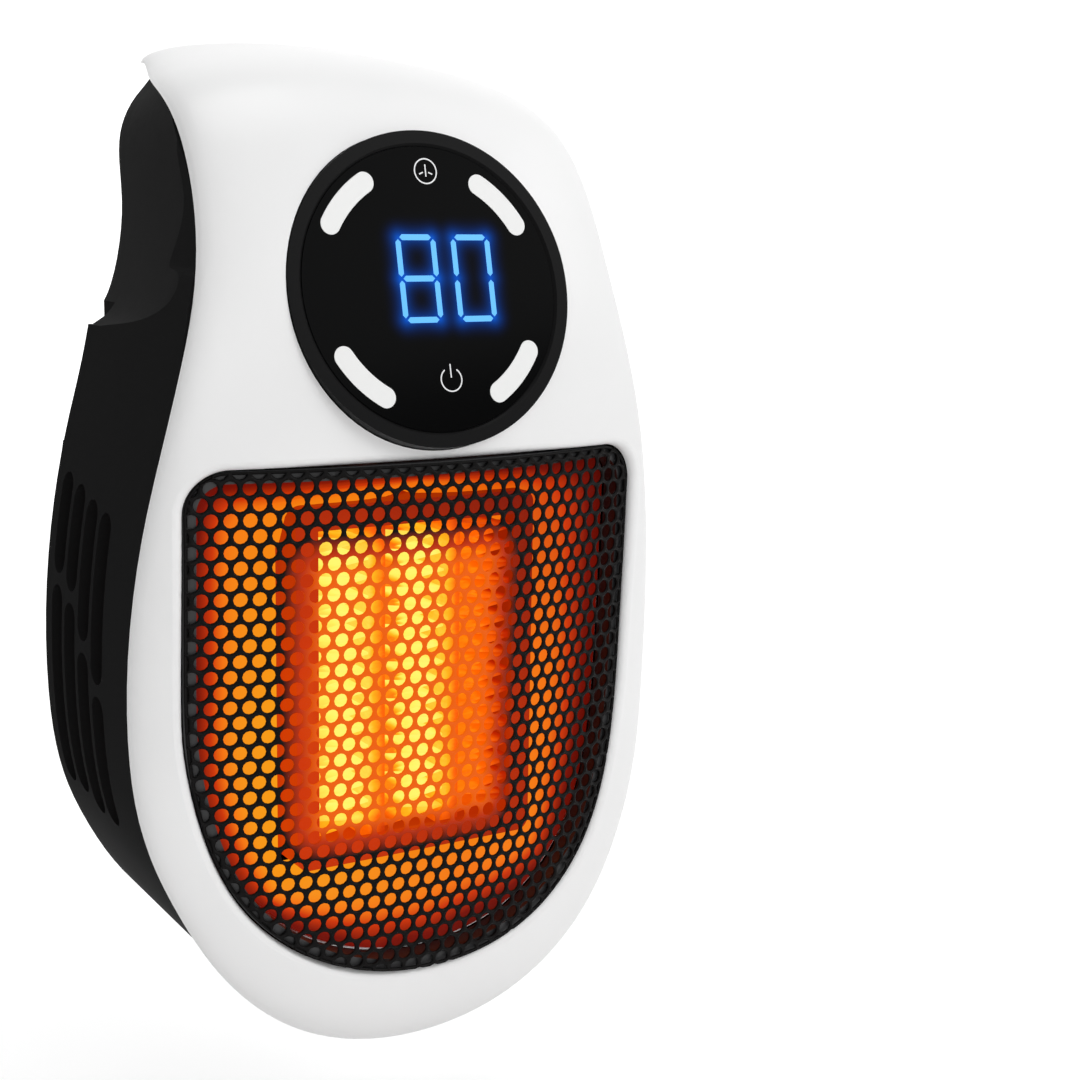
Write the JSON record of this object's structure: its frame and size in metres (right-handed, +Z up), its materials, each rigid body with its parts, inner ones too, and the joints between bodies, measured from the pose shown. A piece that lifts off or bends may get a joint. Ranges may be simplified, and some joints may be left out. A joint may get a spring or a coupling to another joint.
{
  "type": "plug-in fan heater",
  "caption": "Small wall-socket fan heater: crowned white cover with mesh grille and round display, black vented housing, rocker switch and swivelling two-blade plug.",
  "frame": {"origin": "centre of the plug's face, where it meets the wall", "axes": "+Y into the wall along the blades, +Z up, +X right as seen from the front"},
  "size_m": [0.0994, 0.0955, 0.1717],
  "materials": {
    "white_shell": "satin",
    "black_shell": "satin",
    "grille_steel": "satin",
    "dark_ring": "satin",
    "black_glass": "gloss",
    "light_bar": "satin",
    "display_light": "satin",
    "plug_black": "gloss",
    "black_gloss": "gloss",
    "nickel": "satin",
    "brass": "satin",
    "steel": "satin",
    "aluminium": "satin",
    "heat_plastic": "matt",
    "dark_plastic": "matt",
    "board_green": "satin",
    "yellow_box": "satin",
    "blue_box": "satin",
    "can_sleeve": "satin",
    "fuse_sleeve": "matt",
    "tan_plastic": "satin"
  },
  "bodies": {
    "housing": {"rear_housing": "black_shell", "front_cover": "white_shell", "front_grille": "grille_steel", "grille_rim": "dark_plastic", "case_screws": "steel", "display_bezel": "dark_ring", "display_lens": "black_glass", "light_bars": "light_bar", "digit_module": "dark_plastic", "digit_segments": "display_light", "touch_pads": "brass", "display_board": "board_green", "buzzer": "dark_plastic", "air_duct": "steel", "heater_frame": "heat_plastic", "heater_tubes": "aluminium", "heater_fins": "aluminium", "heater_electrodes": "brass", "thermal_cutout": "steel", "thermal_fuse": "fuse_sleeve", "heater_brackets": "steel", "fan_frame": "dark_plastic", "fan_motor": "steel", "fan_screws": "steel", "main_board": "board_green", "board_screws": "steel", "relay": "blue_box", "film_capacitor": "yellow_box", "transformer": "yellow_box", "terminal_block": "board_green", "control_chip": "black_gloss", "cable_header": "tan_plastic", "can_capacitors": "can_sleeve", "board_fuse": "fuse_sleeve", "tilt_switch": "dark_plastic", "switch_body": "black_gloss", "switch_terminals": "brass", "contact_carrier": "board_green", "carrier_screws": "steel", "contact_brushes": "brass"},
    "plug": {"plug_disc": "plug_black", "live_blade": "nickel", "neutral_blade": "nickel", "plug_retainer": "dark_plastic", "retainer_screws": "steel", "contact_rings": "brass"},
    "rocker": {"rocker_button": "black_gloss"},
    "rotor": {"fan_impeller": "dark_plastic", "fan_shaft": "steel"}
  },
  "joints": [
    {"name": "plug_swivel", "type": "hinge", "parent": "housing", "child": "plug", "pos_m": [0, 0, 0], "axis": [0, 1, 0], "range_deg": [-90, 180]},
    {"name": "rocker_tip", "type": "hinge", "parent": "housing", "child": "rocker", "pos_m": [0.03807, -0.02707, -0.02479], "axis": [-0.1961, 0.9806, 0], "range_deg": [-16, 0]},
    {"name": "fan_spin", "type": "hinge", "parent": "housing", "child": "rotor", "pos_m": [0, -0.038, -0.0795], "axis": [0, 1, 0], "continuous": true}
  ]
}
